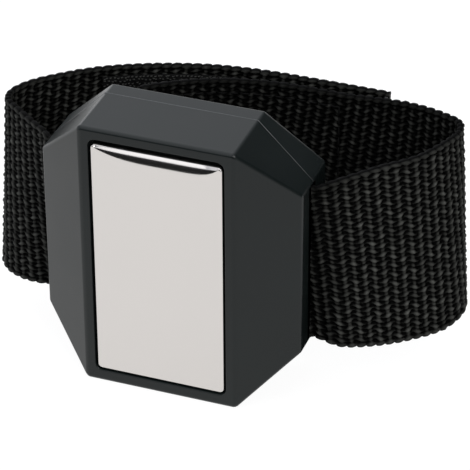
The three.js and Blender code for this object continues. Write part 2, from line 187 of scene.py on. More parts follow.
def surface(name, colour, roughness, metallic=0.0, specular=0.5):
    """A material with its plain values set, and its node tree and shader for what varies."""
    material = bpy.data.materials.new(name)
    material.use_nodes = True
    shader = material.node_tree.nodes["Principled BSDF"]
    shader.inputs["Base Color"].default_value = (*colour, 1)
    shader.inputs["Roughness"].default_value = roughness
    shader.inputs["Metallic"].default_value = metallic
    shader.inputs["Specular IOR Level"].default_value = specular
    return material, material.node_tree, shader


def grain(tree, scale, detail, stretch=(1, 1, 1), uv_map=None):
    """A noise over the object's own coordinates or a named map, stretched along its axes."""
    if uv_map:
        place = tree.nodes.new("ShaderNodeUVMap")
        place.uv_map = uv_map
        start = place.outputs["UV"]
    else:
        start = tree.nodes.new("ShaderNodeTexCoord").outputs["Object"]
    mapping = tree.nodes.new("ShaderNodeMapping")
    mapping.inputs["Scale"].default_value = stretch
    noise = tree.nodes.new("ShaderNodeTexNoise")
    noise.inputs["Scale"].default_value = scale
    noise.inputs["Detail"].default_value = detail
    tree.links.new(start, mapping.inputs["Vector"])
    tree.links.new(mapping.outputs["Vector"], noise.inputs["Vector"])
    return noise.outputs["Fac"]


def spread(tree, value, low, high, start=0.3, end=0.7):
    """A value carried from one range to another."""
    ranged = tree.nodes.new("ShaderNodeMapRange")
    ranged.inputs["From Min"].default_value = start
    ranged.inputs["From Max"].default_value = end
    ranged.inputs["To Min"].default_value = low
    ranged.inputs["To Max"].default_value = high
    tree.links.new(value, ranged.inputs["Value"])
    return ranged.outputs["Result"]


def tint(tree, value, target, dark, light, start=0.3, end=0.7):
    """A colour that runs from dark to light with a value, for a target."""
    ramp = tree.nodes.new("ShaderNodeValToRGB")
    ramp.color_ramp.elements[0].position = start
    ramp.color_ramp.elements[0].color = (*dark, 1)
    ramp.color_ramp.elements[1].position = end
    ramp.color_ramp.elements[1].color = (*light, 1)
    tree.links.new(value, ramp.inputs["Fac"])
    tree.links.new(ramp.outputs["Color"], target)


def relief(tree, shader, value, depth, strength):
    """Fine surface height from a value, on top of what the shader has already."""
    bump = tree.nodes.new("ShaderNodeBump")
    bump.inputs["Distance"].default_value = depth
    bump.inputs["Strength"].default_value = strength
    tree.links.new(value, bump.inputs["Height"])
    under = shader.inputs["Normal"]
    if under.is_linked:
        tree.links.new(under.links[0].from_socket, bump.inputs["Normal"])
    tree.links.new(bump.outputs["Normal"], under)


def moulded_plastic():
    """Dark grey satin moulding: a spark-eroded grain, slow mottling and a little change of gloss."""
    base = (0.0078, 0.0115, 0.0114)
    material, tree, shader = surface("moulded_plastic", base, roughness=0.3, specular=0.3)
    slow = grain(tree, scale=90, detail=3)
    fine = grain(tree, scale=5200, detail=2)
    tint(tree, slow, shader.inputs["Base Color"],
         dark=(0.007, 0.0103, 0.0102), light=(0.0087, 0.0127, 0.0126))
    tree.links.new(spread(tree, slow, low=0.27, high=0.33), shader.inputs["Roughness"])
    relief(tree, shader, fine, depth=0.00001, strength=0.5)
    return material


plastic = moulded_plastic()
moulding("front_shell_moulding", "front_shell", shell_high.y, plastic)

# Magnets: three sintered ferrite blocks side by side in the shell's pocket. They are matt, nearly black and
# slightly pitted from pressing.
ferrite, tree, shader = surface("sintered_ferrite", (0.03, 0.028, 0.027), roughness=0.8, specular=0.3)
pitting = grain(tree, scale=2600, detail=4)
tint(tree, pitting, shader.inputs["Base Color"], dark=(0.018, 0.017, 0.016), light=(0.045, 0.042, 0.04))
relief(tree, shader, pitting, depth=0.00005, strength=0.6)


def finish_solid(node, material):
    """Gives a solid that stays as it is its material."""
    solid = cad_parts[node]
    solid.data.materials.clear()
    solid.data.materials.append(material)
    return solid


for magnet in ("magnet_lower", "magnet_middle", "magnet_upper"):
    finish_solid(magnet, ferrite)

# Back iron: one zinc-plated steel strip behind the magnets, which turns their pull towards the face.
# The plating is bright and bluish with a faint rolling grain along the strip.
zinc, tree, shader = surface("zinc_plating", (0.56, 0.58, 0.6), roughness=0.32, metallic=1.0)
rolling = grain(tree, scale=700, detail=3, stretch=(6, 6, 0.4))
tree.links.new(spread(tree, rolling, low=0.26, high=0.4), shader.inputs["Roughness"])
tint(tree, rolling, shader.inputs["Base Color"], dark=(0.5, 0.52, 0.55), light=(0.62, 0.63, 0.64))
finish_solid("back_iron", zinc)

# Magnet retainer: a flat moulded plate that closes the magnet pocket and bears the strap. It is out of sight
# and has the housing's own plastic.
finish_solid("magnet_retainer", plastic)

# Plate tape: double-sided foam tape that fills the steel face and bonds it into the recess. The foam is
# black with small open cells, and stops short of the lip at the face's upper edge.
TAPE_SHORT = 0.0018
foam, tree, shader = surface("foam_tape", (0.02, 0.02, 0.02), roughness=0.95, specular=0.2)
cells = grain(tree, scale=3200, detail=3)
tint(tree, cells, shader.inputs["Base Color"], dark=(0.012, 0.012, 0.012), light=(0.035, 0.035, 0.035))
relief(tree, shader, cells, depth=0.00008, strength=0.8)
foam_low, foam_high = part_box("plate_tape")
foam_block = bmesh.new()
bmesh.ops.create_cube(foam_block, size=1)
foam_size = foam_high - foam_low - Vector((0, 0, TAPE_SHORT))
bmesh.ops.scale(foam_block, vec=foam_size, verts=foam_block.verts)
foam_middle = (foam_low + foam_high) / 2 - Vector((0, 0, TAPE_SHORT / 2))
bmesh.ops.translate(foam_block, vec=foam_middle, verts=foam_block.verts)
foam_mesh = bpy.data.meshes.new("plate_foam")
foam_block.to_mesh(foam_mesh)
foam_block.free()
plate_foam = new_piece("plate_foam", foam_mesh, foam)
plate_foam.data.set_sharp_from_angle(angle=HARD_ANGLE)
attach(plate_foam, "housing")
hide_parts("plate_tape")

# Steel face: a stainless sheet pressed into a shallow cap and polished. Its sides and foot turn back
# tightly, while its upper edge leans back in a lip, in a bend that is fullest in the middle and tight at
# the corners.
FACE_SHEET = 0.0008
FACE_CORNER = 0.0011
EDGE_BEND = 0.0005
EDGE_BEND_ANGLE = math.radians(78)
EDGE_FLAT = 0.00002
LIP_ANGLE = math.radians(38)
LIP_LENGTH = 0.0003
LIP_ROLL = 0.0014
LIP_ROLL_ANGLE = math.radians(86)
LIP_LOWERED = 0.0002
LIP_BEND_ENDS = 0.0003
LIP_BEND_MIDDLE = 0.0036
LIP_SINK = 0.6
LIP_TAPER_LEFT = 2.9
LIP_TAPER_RIGHT = 6.5
BEND_STEPS = 14
ROLL_STEPS = 10
CORNER_STEPS = 10
END_STEPS = 28
SIDE_STEPS = 40

face_low, face_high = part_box("face_plate")
face_half_height = (face_high.z - LIP_LOWERED - face_low.z) / 2
face_middle_z = face_low.z + face_half_height


def face_outline():
    """Round the cap's edge: plan place, way inward, share of lip, and how full the lip's bend is there."""
    half_x = face_high.x
    half_z = face_half_height
    points = []
    for quarter, side in enumerate(("foot", "right", "top", "left")):
        upright_run = side in ("right", "left")
        start = (quarter - 1) * math.pi / 2
        outward = Vector((math.cos(start), math.sin(start)))
        heading = Vector((-outward.y, outward.x))
        distance = half_x if upright_run else half_z
        span = (half_z if upright_run else half_x) - FACE_CORNER
        steps = SIDE_STEPS if upright_run else END_STEPS
        at_top = side == "top"
        for i in range(steps):
            t = -1 + 2 * i / steps
            place = outward * distance + heading * span * t
            taper = LIP_TAPER_LEFT if t > 0 else LIP_TAPER_RIGHT
            points.append((*place, *-outward, float(at_top), (1 - abs(t) ** taper) * at_top))
        centre = outward * (distance - FACE_CORNER) + heading * span
        for i in range(CORNER_STEPS):
            share = i / CORNER_STEPS
            way = Vector((math.cos(start + math.pi / 2 * share), math.sin(start + math.pi / 2 * share)))
            lip = {"right": share, "top": 1 - share}.get(side, 0)
            points.append((*(centre + way * FACE_CORNER), *-way, lip, 0))
    return np.array(points)


def joined_mesh(name, parts):
    """One mesh from several sets of points and faces, with its faces turned outward."""
    points, faces = [], []
    for part_points, part_faces in parts:
        first = len(points)
        points += np.asarray(part_points).reshape(-1, 3).tolist()
        faces += [[first + c for c in face] for face in part_faces]
    mesh = bpy.data.meshes.new(name)
    mesh.from_pydata(points, [], faces)
    bm = bmesh.new()
    bm.from_mesh(mesh)
    bmesh.ops.recalc_face_normals(bm, faces=bm.faces)
    bm.to_mesh(mesh)
    bm.free()
    return mesh


def pressed_cap():
    """The cap from its open back edge, up its return, over the lip's roll, its straight and its bend to the
    flat, then its inside."""
    outline = face_outline()
    edge, inward, lip, full = outline[:, :2], outline[:, 2:4], outline[:, 4], outline[:, 5]
    bend = EDGE_BEND + (LIP_BEND_ENDS - EDGE_BEND) * lip + (LIP_BEND_MIDDLE - LIP_BEND_ENDS) * full
    length = EDGE_FLAT + (LIP_LENGTH - EDGE_FLAT) * lip
    roll = EDGE_BEND + (LIP_ROLL - EDGE_BEND) * lip
    angle = EDGE_BEND_ANGLE + (LIP_ANGLE - EDGE_BEND_ANGLE) * lip
    bend_depth = bend * (1 - np.cos(angle))
    flat_depth = bend_depth + length * np.sin(angle)
    edge_depth = flat_depth + roll * (np.cos(angle) - math.cos(LIP_ROLL_ANGLE))
    end_depth = edge_depth[lip == 1].min()
    inset = LIP_SINK * np.clip(edge_depth - end_depth, 0, None) * (lip == 1)
    rings = []

    def ring(inward_by, depth):
        place = edge + inward * inward_by[:, None]
        height = face_low.y + np.broadcast_to(depth, lip.shape)
        rings.append(np.column_stack((place[:, 0], height, place[:, 1] + face_middle_z)))

    ring(inset + FACE_SHEET, face_high.y - face_low.y)
    ring(inset, face_high.y - face_low.y)
    for i in range(ROLL_STEPS + 1):
        turned = LIP_ROLL_ANGLE + (angle - LIP_ROLL_ANGLE) * i / ROLL_STEPS
        roll_inset = roll * (math.sin(LIP_ROLL_ANGLE) - np.sin(turned))
        ring(inset + roll_inset, flat_depth + roll * (np.cos(angle) - np.cos(turned)))
    bend_start = inset + roll_inset + length * np.cos(angle)
    for i in range(BEND_STEPS + 1):
        turned = angle * (1 - i / BEND_STEPS)
        ring(bend_start + bend * (np.sin(angle) - np.sin(turned)), bend * (1 - np.cos(turned)))
    flat = len(rings) - 1
    count = len(edge)
    rings.append(np.column_stack((rings[0][:, 0], np.full(count, face_low.y + FACE_SHEET), rings[0][:, 2])))
    faces = []
    for a, b in [(r, r + 1) for r in range(flat)] + [(flat + 1, 0)]:
        for i in range(count):
            j = (i + 1) % count
            faces.append((a * count + i, a * count + j, b * count + j, b * count + i))
    faces.append([flat * count + i for i in range(count)])
    faces.append([(flat + 1) * count + i for i in reversed(range(count))])
    return joined_mesh("face_plate", [(np.vstack(rings), faces)])


def polished_steel():
    """Bright, slightly warm stainless sheet: a faint upright polishing grain and slow changes of gloss."""
    material, tree, shader = surface("polished_steel", (0.629, 0.602, 0.58), roughness=0.13, metallic=1.0)
    polish = grain(tree, scale=900, detail=3, stretch=(7, 7, 0.35))
    slow = grain(tree, scale=60, detail=2)
    tree.links.new(spread(tree, slow, low=0.1, high=0.17), shader.inputs["Roughness"])
    relief(tree, shader, polish, depth=0.0000015, strength=0.35)
    return material


steel_face = new_piece("steel_face", pressed_cap(), polished_steel())
steel_face.data.set_sharp_from_angle(angle=HARD_ANGLE)
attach(steel_face, "housing")
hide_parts("face_plate")

# Strap: one length of black 38 mm polypropylene webbing, plain woven from coarse yarns. It runs through the
# housing, leaves by the slots and lies round the wrist, its left end over its right. Each piece below spans
# one bend.
WEBBING_WIDTH = 0.038
WEBBING_THICKNESS = 0.0018
LEFT = -1
RIGHT = 1
MILLIMETRE = 0.001

# Lengthwise yarns, which swing over and under the cross yarns, pinched where they cross the middle
YARNS = 40
YARN_HALF_WIDTH = 0.00054
YARN_PINCH = 0.55
YARN_SWING = 0.00036
YARN_HALF_DEPTH = WEBBING_THICKNESS / 2 - YARN_SWING
YARN_JITTER = 0.2
YARN_LEAN = 0.32
KNOT_DROP = 0.35
FLOAT_POWER = 1.7
YARN_SEED = 11
YARN_REPEAT = 256

# Cross yarns, and the loops in which they turn back round the strap's edges
WEFT_PITCH = 0.00225
WEFT_SKEW = 0.13
WEFT_HALF_WIDTH = 0.0005
WEFT_HALF_DEPTH = 0.00036
WEFT_SWING = 0.00034
EDGE_LOOP_INSET = 0.0004
EDGE_LOOP_HALF_WIDTH = 0.00055
EDGE_LOOP_HALF_LENGTH = 0.0017
EDGE_LOOP_HALF_DEPTH = 0.0008
EDGE_LOOP_LEAN = 0.14
EDGE_LOOP_BULGE = 0.00003
EDGE_EASE = 0.002
PIT_HEIGHT = 0.00003

# How light the knobs are painted on the inner face, at the edges and at the slot, as shares of the outer
# face's:
# painted shade on the inner face and on the right arm by its slot, and simply darker at the edges
INNER_FACE_SHADE = {LEFT: 0.92, RIGHT: 0.76}
EDGE_DARKENING = 0.8
SLOT_SHADE = {LEFT: 1, RIGHT: 0.8}
SLOT_EASE = 0.009
PIT_SHADE_POWER = 2

# How finely the weave is sampled, and where its faces and its two cut ends lie on the unrolled map
SAMPLES_PER_YARN = 4
SAMPLES_PER_WEFT = 8
EDGE_SAMPLES = 3
HIDDEN_STEP = 0.003
HIDDEN_DEPTH = 0.006
ROUTE_SAMPLES = 1600
UNROLLED_SHARE = 0.94
CUT_START = 0.96
CUT_STEP = 0.02
CUT_WIDTH = 0.012
WEAVE_MAP_SCALE = 100

# How far the inner flap lies inside the strap's other end, and how it droops towards its tip
LAYER_PITCH = 0.004
FLAP_DROOP = 0.006
DROOP_POWER = 1.5

core_low, core_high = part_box("strap_core")
slot_x = shell_high.x
strap_y = (core_low.y + core_high.y) / 2
strap_top = housing_middle_z + WEBBING_WIDTH / 2

# Stops along the strap seen from above, in millimetres from each slot: out and back for the upper edge, then
# for the lower edge, which bows out ahead of it. The first stop is the housing's middle.
CORE_HALF = round(slot_x / MILLIMETRE, 2)
LEFT_STOPS = (
    (-CORE_HALF, 0, -CORE_HALF, 0), (0, 0, 0, 0), (1, 0, 1, 0), (3, 2, 3.5, -0.6), (7.4, 5.2, 8, -0.4),
    (12.6, 9.2, 12.9, 1.8), (15.9, 12, 16.2, 6.8), (16.7, 15.4, 17, 15.4), (15, 19.9, 15.5, 19.5),
    (9.1, 26.3, 9.3, 26), (1.1, 32.4, 1.1, 32.4), (-9.4, 37.5, -9.4, 37.5), (-21.4, 41.2, -21.4, 41.2),
    (-33.4, 42.7, -33.4, 42.7), (-47.4, 42.9, -47.4, 42.9), (-62.4, 42.8, -62.4, 42.8),
)
RIGHT_STOPS = (
    (-CORE_HALF, 0, -CORE_HALF, 0), (0, 0, 0, 0), (1, 0, 1, 0), (2.6, 1.9, 3.4, -0.6), (5, 5, 7.2, -1.5),
    (10.9, 12.2, 14.1, 1.2), (17.2, 19, 20.6, 5.9), (21.1, 27.1, 26.2, 12.2), (22.5, 32.1, 28.2, 20.1),
    (21.4, 36, 26.1, 27.1), (17, 38.2, 21.1, 32.1), (9.1, 39.8, 12.1, 36.1),
)
SLOT_STOP = 1
LEFT_ARM_MIDDLE = 4.5
TAIL_ROOT_MIDDLE = 9
TAIL_MIDDLE = 12
TAIL_TIP_STOP = len(LEFT_STOPS) - 1
RIGHT_ARM_MIDDLE = 9
FLAP_BEND_STOP = len(RIGHT_STOPS)

# The inner flap lies behind these stops of the left strap, from its bend to its tip
FLAP_STOPS = (14.4, 10.6)
FLAP_FREE_STOP = 13.6
FLAP_RULINGS = 9
FLAP_TIP_STOP = FLAP_BEND_STOP + FLAP_RULINGS - 1


def curve_through(points, stops):
    """Places and headings at stops on a smooth curve through plan points, timed by the root of the gaps."""
    padded = np.vstack((2 * points[0] - points[1], points, 2 * points[-1] - points[-2]))
    first = np.clip(np.floor(stops).astype(int), 0, len(points) - 2)
    t = (stops - first)[:, None]
    before, near, far, after = (padded[first + k] for k in range(4))
    gap_in = np.linalg.norm(near - before, axis=1, keepdims=True) ** 0.5
    gap = np.linalg.norm(far - near, axis=1, keepdims=True) ** 0.5
    gap_out = np.linalg.norm(after - far, axis=1, keepdims=True) ** 0.5
    leave = ((near - before) / gap_in - (far - before) / (gap_in + gap) + (far - near) / gap) * gap
    arrive = ((far - near) / gap - (after - near) / (gap + gap_out) + (after - far) / gap_out) * gap
    place = (2 * t**3 - 3 * t**2 + 1) * near + (t**3 - 2 * t**2 + t) * leave
    place += (3 * t**2 - 2 * t**3) * far + (t**3 - t**2) * arrive
    heading = (6 * t**2 - 6 * t) * near + (3 * t**2 - 4 * t + 1) * leave
    heading += (6 * t - 6 * t**2) * far + (3 * t**2 - 2 * t) * arrive
    return place, heading / np.linalg.norm(heading, axis=1, keepdims=True)


def strap_route(rulings, hand):
    """A strap's route, sampled: its length so far, and each edge with the way its outer face looks."""
    rulings = np.array(rulings, float)
    stops = np.linspace(0, len(rulings) - 1, ROUTE_SAMPLES)
    upper, upper_heading = curve_through(rulings[:, :2], stops)
    lower, lower_heading = curve_through(rulings[:, 2:], stops)
    middle = (upper + lower) / 2
    steps = np.linalg.norm(np.diff(middle, axis=0), axis=1)
    route = {"hand": hand, "stops": stops, "length": np.concatenate(((0,), np.cumsum(steps)))}
    for edge, place, heading in (("upper", upper, upper_heading), ("lower", lower, lower_heading)):
        route[edge] = place
        route[edge + "_out"] = np.column_stack((heading[:, 1], -heading[:, 0])) * hand
    return route


def along_at(route, stop):
    """How far along the strap a stop lies."""
    return float(np.interp(stop, route["stops"], route["length"]))


def strap_points(route, along, across, out):
    """Places on a strap from distances along it, down from its upper edge and out from its middle."""
    share = (across / WEBBING_WIDTH)[..., None]

    def read(key):
        columns = [np.interp(along, route["length"], route[key][:, k]) for k in range(2)]
        return np.stack(columns, axis=-1)

    place = read("upper") * (1 - share) + read("lower") * share
    outward = read("upper_out") * (1 - share) + read("lower_out") * share
    outward /= np.linalg.norm(outward, axis=-1, keepdims=True)
    place = place + outward * out[..., None]
    return np.concatenate((place, (strap_top - across)[..., None]), axis=-1)


def in_frame(stops, hand):
    """Stops from a slot as places in the frame, on the left or the right hand."""
    stops = np.array(stops, float) * MILLIMETRE
    out, back = stops[:, 0::2] + slot_x, stops[:, 1::2] + strap_y
    return np.column_stack((hand * out[:, 0], back[:, 0], hand * out[:, 1], back[:, 1]))


left_route = strap_route(in_frame(LEFT_STOPS, LEFT), LEFT)
flap_stops = np.linspace(*FLAP_STOPS, FLAP_RULINGS)
flap_free = np.clip((FLAP_FREE_STOP - flap_stops) / (FLAP_FREE_STOP - FLAP_STOPS[1]), 0, None)
flap_along = np.interp(flap_stops, left_route["stops"], left_route["length"])
flap_drop = -LAYER_PITCH - FLAP_DROOP * flap_free**DROOP_POWER
flap_plan = strap_points(left_route, flap_along, np.zeros(FLAP_RULINGS), flap_drop)[:, :2]
right_rulings = np.vstack((in_frame(RIGHT_STOPS, RIGHT), np.hstack((flap_plan, flap_plan))))
right_route = strap_route(right_rulings, RIGHT)
yarn_noise = np.random.default_rng(YARN_SEED).uniform(-1, 1, (2, YARNS, YARN_REPEAT))


def weave_height(route, along, across, face):
    """Height of the woven surface off the strap's middle, on its outer (1) or inner (-1) face: the highest
    of the lengthwise yarns, the cross yarns between them and the loops that turn round the edges."""
    pitch = (WEBBING_WIDTH - 2 * YARN_HALF_WIDTH) / (YARNS - 1)
    run = (route["hand"] * along - WEFT_SKEW * across) / WEFT_PITCH
    swing = np.cos(math.pi * run)
    swing = np.sign(swing) * np.abs(swing) ** FLOAT_POWER
    weft = np.rint(run).astype(int)
    off_weft = (run - weft) * WEFT_PITCH
    from_edge = np.minimum(across, WEBBING_WIDTH - across)
    lean = YARN_LEAN * off_weft * np.where(weft % 2 == 0, 1, -1) * np.clip(from_edge / EDGE_EASE, 0, 1)
    place = (across - YARN_HALF_WIDTH - lean) / pitch
    nearest = np.rint(place).astype(int)
    weft_over = -np.cos(math.pi * (place + weft)) * face
    weft_rise = np.sqrt(np.clip(1 - (off_weft / WEFT_HALF_WIDTH) ** 2, 0, None)) * WEFT_HALF_DEPTH
    best = np.where(weft_rise > 0, WEFT_SWING * weft_over + weft_rise, PIT_HEIGHT)
    loop_off = (from_edge - EDGE_LOOP_INSET - EDGE_LOOP_LEAN * off_weft) / EDGE_LOOP_HALF_WIDTH
    loop = 1 - (off_weft / EDGE_LOOP_HALF_LENGTH) ** 2 - loop_off**2
    best = np.maximum(best, np.sqrt(np.clip(loop, 0, None)) * EDGE_LOOP_HALF_DEPTH)
    for step in (-1, 0, 1):
        yarn = np.clip(nearest + step, 0, YARNS - 1)
        lift = np.where(yarn % 2 == 0, swing, -swing) * face
        knot = weft % YARN_REPEAT
        own = yarn_noise[0, yarn, knot] * YARN_JITTER * np.abs(swing)
        drop = KNOT_DROP * (0.5 + 0.5 * yarn_noise[1, yarn, knot])
        half = YARN_HALF_WIDTH * (1 - YARN_PINCH * (1 - lift**2) ** 2)
        aside = (place - yarn - own) * pitch / half
        rise = np.sqrt(np.clip(1 - aside**2, 0, None)) * YARN_HALF_DEPTH
        height = YARN_SWING * np.where(lift > 0, lift * (1 - drop), lift) + rise
        best = np.where((np.abs(aside) < 1) & (height > best), height, best)
    return face * best


def band_rings(route, along, across, outer, inner):
    """Rings round a band: down its outer face and back up its inner one, which meet at its edges."""
    down = np.broadcast_to(across, (len(along), across.shape[-1]))
    run = np.broadcast_to(along[:, None], down.shape)
    outer = np.broadcast_to(outer, down.shape).copy()
    inner = np.broadcast_to(inner, down.shape).copy()
    for edge in (0, -1):
        outer[:, edge] = inner[:, edge] = (outer[:, edge] + inner[:, edge]) / 2
    ring_run = np.hstack((run, run[:, -2:0:-1]))
    ring_down = np.hstack((down, down[:, -2:0:-1]))
    ring_out = np.hstack((outer, inner[:, -2:0:-1]))
    return ring_run, ring_down, ring_out, strap_points(route, ring_run, ring_down, ring_out)


def band_faces(count, around):
    """Faces of a closed band: its sides, ring to ring, and a strip across each end."""
    place = np.arange(count * around).reshape(count, around)
    beside = np.roll(place, -1, axis=1)
    sides = np.stack((place[:-1], beside[:-1], beside[1:], place[1:]), axis=-1).reshape(-1, 4).tolist()
    outer = np.arange(around // 2 + 1)
    inner = (around - outer) % around
    for row, turn_over in ((0, False), (count - 1, True)):
        for i in range(around // 2):
            corners = [outer[i], outer[i + 1], inner[i + 1], inner[i]]
            corners = [int(row * around + c) for k, c in enumerate(corners) if c not in corners[:k]]
            sides.append(corners[::-1] if turn_over else corners)
    return sides


def webbing_samples(route, start, end):
    """Where the webbing is sampled between two stops, coarsely inside the housing, and across its width."""
    low, high = along_at(route, start), along_at(route, end)
    hidden = along_at(route, SLOT_STOP) - HIDDEN_DEPTH
    step = WEFT_PITCH / SAMPLES_PER_WEFT
    along = np.linspace(max(low, hidden), high, math.ceil((high - max(low, hidden)) / step) + 1)
    if low < hidden:
        along = np.concatenate((np.arange(low, hidden - HIDDEN_STEP / 2, HIDDEN_STEP), along))
    turn = np.linspace(0, math.pi, 2 * EDGE_SAMPLES + 1)[1:EDGE_SAMPLES + 1]
    rim = (0.5 - 0.5 * np.cos(turn)) * YARN_HALF_WIDTH
    inside = np.linspace(YARN_HALF_WIDTH, WEBBING_WIDTH - YARN_HALF_WIDTH, YARNS * SAMPLES_PER_YARN)
    across = np.concatenate(((0,), rim, inside, WEBBING_WIDTH - rim[::-1], (WEBBING_WIDTH,)))
    return along, across


def crisp_cuts(mesh, count, around):
    """Keeps the shading of the webbing's faces apart from that of its cut ends."""
    rows = np.zeros(len(mesh.edges) * 2, np.int32)
    mesh.edges.foreach_get("vertices", rows)
    rows = rows.reshape(-1, 2) // around
    at_cut = (rows == 0).all(axis=1) | (rows == count - 1).all(axis=1)
    mesh.edges.foreach_set("use_edge_sharp", at_cut)


def yarn_wear_and_shade(route, run, down, out):
    """How light the yarn is painted: darker the lower it lies, as painted shade in the pits, painted shade
    on the inner face and by the right slot, and darker at the edges.
    """
    face_shade = np.where(out > 0, 1, INNER_FACE_SHADE[route["hand"]])
    from_edge = np.minimum(down, WEBBING_WIDTH - down)
    edge_dimming = np.interp(from_edge, (0, EDGE_EASE), (EDGE_DARKENING, 1))
    from_slot = run - along_at(route, SLOT_STOP)
    slot_shading = np.interp(from_slot, (0, SLOT_EASE), (SLOT_SHADE[route["hand"]], 1))
    return np.abs(out) / (WEBBING_THICKNESS / 2) * face_shade * edge_dimming * slot_shading


def webbing_maps(mesh, run, down):
    """Two maps: the webbing unrolled with its cut ends beside it, and the length and width of the strap."""
    count, around = run.shape
    corner = np.zeros(len(mesh.loops), int)
    mesh.loops.foreach_get("vertex_index", corner)
    sizes = np.zeros(len(mesh.polygons), int)
    mesh.polygons.foreach_get("loop_total", sizes)
    face = np.repeat(np.arange(len(sizes)), sizes)
    row, column = corner // around, corner % around
    sides = (count - 1) * around
    wraps = (face < sides) & (face % around == around - 1) & (column == 0)
    column = np.where(wraps, around, column)
    unrolled = np.column_stack((column / around * UNROLLED_SHARE, row / (count - 1)))
    cut = face >= sides
    cut_place = CUT_START + CUT_STEP * (~(cut & (row == 0))) + CUT_WIDTH * (column > around // 2)
    strap_share = down.ravel()[corner] / WEBBING_WIDTH
    unrolled = np.where(cut[:, None], np.column_stack((cut_place, strap_share)), unrolled)
    length_and_width = np.column_stack((run.ravel()[corner], down.ravel()[corner])) * WEAVE_MAP_SCALE
    for map_name, places in (("OFBake", unrolled), ("weave", length_and_width)):
        mesh.uv_layers.new(name=map_name).data.foreach_set("uv", places.astype(np.float32).ravel())


def webbing_piece(name, route, start, end):
    """Woven webbing between two stops, with its painted wear and shade and its maps."""
    along, across = webbing_samples(route, start, end)
    down = np.broadcast_to(across, (len(along), len(across)))
    run = np.broadcast_to(along[:, None], down.shape)
    outer, inner = weave_height(route, run, down, 1), weave_height(route, run, down, -1)
    near_edge = np.clip(1 - np.minimum(down, WEBBING_WIDTH - down) / YARN_HALF_WIDTH, 0, None)
    bulge = np.cos(math.tau * (route["hand"] * run - WEFT_SKEW * down) / WEFT_PITCH) * EDGE_LOOP_BULGE
    down = down + bulge * near_edge * np.sign(down - WEBBING_WIDTH / 2)
    ring_run, ring_down, ring_out, rings = band_rings(route, along, down, outer, inner)
    count, around = ring_run.shape
    mesh = joined_mesh(name, [(rings, band_faces(count, around))])
    crisp_cuts(mesh, count, around)
    worn_and_shaded = yarn_wear_and_shade(route, ring_run, ring_down, ring_out)
    # How light each point is painted, with painted shade in the pits, on the inner face and by the right
    # slot
    knob = mesh.attributes.new("knob", "FLOAT", "POINT")
    knob.data.foreach_set("value", worn_and_shaded.astype(np.float32).ravel())
    webbing_maps(mesh, ring_run, ring_down)
    return mesh


def worked(tree, operation, value, by):
    """A value with another one, or a number, worked into it."""
    node = tree.nodes.new("ShaderNodeMath")
    node.operation = operation
    tree.links.new(value, node.inputs[0])
    if isinstance(by, (int, float)):
        node.inputs[1].default_value = by
    else:
        tree.links.new(by, node.inputs[1])
    return node.outputs[0]


def black_webbing():
    """Black polypropylene yarn: fine filaments along the strap, painted shade down in the pits between the
    raised yarns and a low sheen.
    """
    material, tree, shader = surface("black_webbing", (0.011, 0.011, 0.0105), roughness=0.5, specular=0.03)
    filaments = grain(tree, scale=60, detail=2, stretch=(1, 22, 1), uv_map="weave")
    shade = grain(tree, scale=4, detail=3, uv_map="weave")
    # The painted shade of the pits, the inner face and the slot, read from the points
    wear_and_shade = tree.nodes.new("ShaderNodeAttribute")
    wear_and_shade.attribute_name = "knob"
    raised = spread(tree, wear_and_shade.outputs["Fac"], low=0.06, high=1, start=0.3, end=1)
    worn_and_shaded = worked(tree, "POWER", raised, PIT_SHADE_POWER)
    lightness = worked(tree, "MULTIPLY", worn_and_shaded, spread(tree, shade, low=0.7, high=1.3))
    shaded = tree.nodes.new("ShaderNodeVectorMath")
    shaded.operation = "SCALE"
    tint(tree, filaments, shaded.inputs[0], dark=(0.074, 0.075, 0.069), light=(0.157, 0.159, 0.144))
    tree.links.new(lightness, shaded.inputs["Scale"])
    tree.links.new(shaded.outputs["Vector"], shader.inputs["Base Color"])
    tree.links.new(spread(tree, shade, low=0.42, high=0.58), shader.inputs["Roughness"])
    relief(tree, shader, filaments, depth=0.00005, strength=0.6)
    return material


# Each piece: its route, its first and last stop, the bodies it joins, the places between which it turns from
# the one to the other, and the solids it replaces
SLOT_BEND_START = 0.0005
SLOT_BEND_END = 0.0045
webbing = black_webbing()
strap_pieces = (
    ("strap_left", left_route, 0, LEFT_ARM_MIDDLE, ("housing", "left_arm"),
     (-slot_x + SLOT_BEND_START, 0, 0), (-slot_x - SLOT_BEND_END, 0, 0), ("strap_core", "strap_left_arm")),
    ("strap_left_bend", left_route, LEFT_ARM_MIDDLE, TAIL_ROOT_MIDDLE, ("left_arm", "tail_root"),
     (0, 0.013, 0), (0, 0.028, 0), ("strap_tail_root",)),
    ("strap_tail_bend", left_route, TAIL_ROOT_MIDDLE, TAIL_MIDDLE, ("tail_root", "tail_mid"),
     (-0.0265, 0.0395, 0), (-0.0135, 0.0445, 0), ("strap_tail_mid",)),
    ("strap_tail", left_route, TAIL_MIDDLE, TAIL_TIP_STOP, ("tail_mid", "tail_end"),
     (-0.003, 0, 0), (0.011, 0, 0), ("strap_tail_end",)),
    ("strap_right", right_route, 0, RIGHT_ARM_MIDDLE, ("housing", "right_arm"),
     (slot_x - SLOT_BEND_START, 0, 0), (slot_x + SLOT_BEND_END, 0, 0), ("strap_right_arm",)),
    ("strap_flap", right_route, RIGHT_ARM_MIDDLE, FLAP_TIP_STOP, ("right_arm", "inner_flap"),
     (0.0285, 0, 0), (0.0235, 0, 0), ("strap_inner_flap",)),
)
strap_turns = {}
for name, route, start, end, bodies, turn_start, turn_end, nodes in strap_pieces:
    band = new_piece(name, webbing_piece(name, route, start, end), webbing)
    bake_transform(band)
    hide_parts(*nodes)
    strap_turns[name] = (bodies, turn_start, turn_end)

